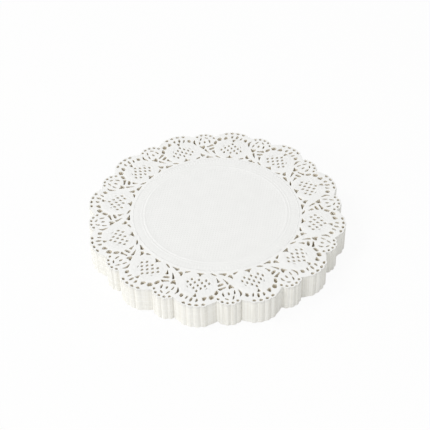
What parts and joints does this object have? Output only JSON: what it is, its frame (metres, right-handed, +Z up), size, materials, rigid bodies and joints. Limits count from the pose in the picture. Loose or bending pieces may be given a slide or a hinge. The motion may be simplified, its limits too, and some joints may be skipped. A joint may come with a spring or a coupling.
{
  "type": "stack of paper lace doilies",
  "caption": "Free-standing stack of round white paper doilies with a plain embossed middle, a pierced lace border and a scalloped edge, each lifting off the next.",
  "frame": {"origin": "middle of the underside of the stack, on its axis", "axes": "+Z up along the axis of the stack, +X outwards through the middle of one lace medallion"},
  "size_m": [0.114, 0.114, 0.0125],
  "materials": {
    "paper": "matte"
  },
  "bodies": {
    "doily_01": {"doily_01": "paper"},
    "doily_02": {"doily_02": "paper"},
    "doily_03": {"doily_03": "paper"},
    "doily_04": {"doily_04": "paper"},
    "doily_05": {"doily_05": "paper"},
    "doily_06": {"doily_06": "paper"},
    "doily_07": {"doily_07": "paper"},
    "doily_08": {"doily_08": "paper"},
    "doily_09": {"doily_09": "paper"},
    "doily_10": {"doily_10": "paper"},
    "bundle_01": {"bundle_01": "paper"},
    "bundle_02": {"bundle_02": "paper"},
    "bundle_03": {"bundle_03": "paper"},
    "bundle_04": {"bundle_04": "paper"},
    "bundle_05": {"bundle_05": "paper"},
    "bundle_06": {"bundle_06": "paper"}
  },
  "joints": [
    {"name": "doily_01_lift", "type": "slide", "parent": "doily_02", "child": "doily_01", "axis": [0, 0, 1], "range_m": [0, 0.015]},
    {"name": "doily_02_lift", "type": "slide", "parent": "doily_03", "child": "doily_02", "axis": [0, 0, 1], "range_m": [0, 0.015]},
    {"name": "doily_03_lift", "type": "slide", "parent": "doily_04", "child": "doily_03", "axis": [0, 0, 1], "range_m": [0, 0.015]},
    {"name": "doily_04_lift", "type": "slide", "parent": "doily_05", "child": "doily_04", "axis": [0, 0, 1], "range_m": [0, 0.015]},
    {"name": "doily_05_lift", "type": "slide", "parent": "doily_06", "child": "doily_05", "axis": [0, 0, 1], "range_m": [0, 0.015]},
    {"name": "doily_06_lift", "type": "slide", "parent": "doily_07", "child": "doily_06", "axis": [0, 0, 1], "range_m": [0, 0.015]},
    {"name": "doily_07_lift", "type": "slide", "parent": "doily_08", "child": "doily_07", "axis": [0, 0, 1], "range_m": [0, 0.015]},
    {"name": "doily_08_lift", "type": "slide", "parent": "doily_09", "child": "doily_08", "axis": [0, 0, 1], "range_m": [0, 0.015]},
    {"name": "doily_09_lift", "type": "slide", "parent": "doily_10", "child": "doily_09", "axis": [0, 0, 1], "range_m": [0, 0.015]},
    {"name": "doily_10_lift", "type": "slide", "parent": "bundle_01", "child": "doily_10", "axis": [0, 0, 1], "range_m": [0, 0.015]},
    {"name": "bundle_01_lift", "type": "slide", "parent": "bundle_02", "child": "bundle_01", "axis": [0, 0, 1], "range_m": [0, 0.015]},
    {"name": "bundle_02_lift", "type": "slide", "parent": "bundle_03", "child": "bundle_02", "axis": [0, 0, 1], "range_m": [0, 0.015]},
    {"name": "bundle_03_lift", "type": "slide", "parent": "bundle_04", "child": "bundle_03", "axis": [0, 0, 1], "range_m": [0, 0.015]},
    {"name": "bundle_04_lift", "type": "slide", "parent": "bundle_05", "child": "bundle_04", "axis": [0, 0, 1], "range_m": [0, 0.015]},
    {"name": "bundle_05_lift", "type": "slide", "parent": "bundle_06", "child": "bundle_05", "axis": [0, 0, 1], "range_m": [0, 0.015]}
  ]
}
